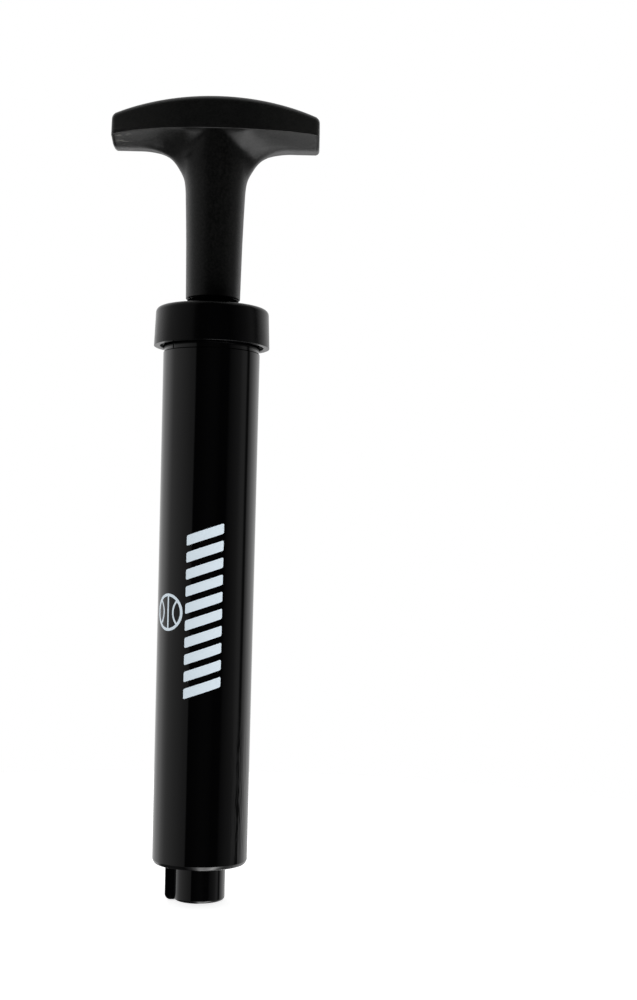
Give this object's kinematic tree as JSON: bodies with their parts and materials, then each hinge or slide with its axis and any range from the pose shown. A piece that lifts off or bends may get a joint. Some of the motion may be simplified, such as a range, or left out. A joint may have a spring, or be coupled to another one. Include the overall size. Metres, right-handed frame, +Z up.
{
  "type": "ball inflation pump",
  "caption": "Double-acting hand pump with a T-handle, a bayonet cap and a threaded socket for an inflating needle.",
  "frame": {"origin": "middle of the nozzle's end face, on the pump's axis; the pump stands on this face", "axes": "+Z up the pump's axis from the nozzle to the handle, +X along the T-bar, +Y across it; the lug beside the nozzle is on the -X side"},
  "size_m": [0.0596, 0.0334, 0.2318],
  "materials": {
    "gloss_black_plastic": "glossy moulded black",
    "satin_black_plastic": "satin moulded black",
    "matte_black_plastic": "matte black with a fine moulded grain",
    "natural_acetal": "natural white, machined or moulded",
    "black_rubber": "matte black",
    "steel": "polished steel",
    "brass": "turned brass"
  },
  "bodies": {
    "barrel_body": {"barrel": "gloss_black_plastic", "cap": "satin_black_plastic", "cap_gasket": "black_rubber", "rod_bush": "satin_black_plastic", "rod_lip_seal": "black_rubber", "seal_retainer": "natural_acetal", "transfer_tube": "natural_acetal", "transfer_tube_o_ring": "black_rubber", "tube_gland_ring": "natural_acetal", "outlet_valve_seat": "natural_acetal", "outlet_spring": "steel", "needle_socket": "brass", "needle_gasket": "black_rubber", "intake_flap_retainer": "natural_acetal"},
    "sliding_seal": {"piston_seal": "black_rubber"},
    "plunger": {"handle": "matte_black_plastic", "rod_tube": "satin_black_plastic", "rod_top_plug": "natural_acetal", "piston_body": "natural_acetal", "inner_seal": "black_rubber", "inner_seal_retainer": "natural_acetal", "upper_valve_sleeve": "black_rubber", "bumper_ring": "black_rubber"},
    "lower_valve": {"lower_valve_disc": "black_rubber"},
    "outlet_valve": {"outlet_ball": "steel"},
    "intake_valve": {"intake_flap": "black_rubber"}
  },
  "joints": [
    {"name": "pump_stroke", "type": "slide", "parent": "barrel_body", "child": "sliding_seal", "axis": [0, 0, 1], "range_m": [0, 0.1164]},
    {"name": "handle_spin", "type": "hinge", "parent": "sliding_seal", "child": "plunger", "pos_m": [0, 0, 0.0263], "axis": [0, 0, 1], "continuous": true},
    {"name": "lower_valve_lift", "type": "slide", "parent": "plunger", "child": "lower_valve", "axis": [0, 0, 1], "range_m": [0, 0.0006], "stiffness_N_per_m": 5, "springref_m": -0.0006},
    {"name": "outlet_ball_drop", "type": "slide", "parent": "barrel_body", "child": "outlet_valve", "axis": [0, 0, -1], "range_m": [0, 0.0008], "stiffness_N_per_m": 40, "springref_m": -0.001, "deforming": ["outlet_spring"]},
    {"name": "intake_flap_lift", "type": "slide", "parent": "barrel_body", "child": "intake_valve", "axis": [0, 0, 1], "range_m": [0, 0.0005], "stiffness_N_per_m": 5, "springref_m": -0.0006}
  ]
}
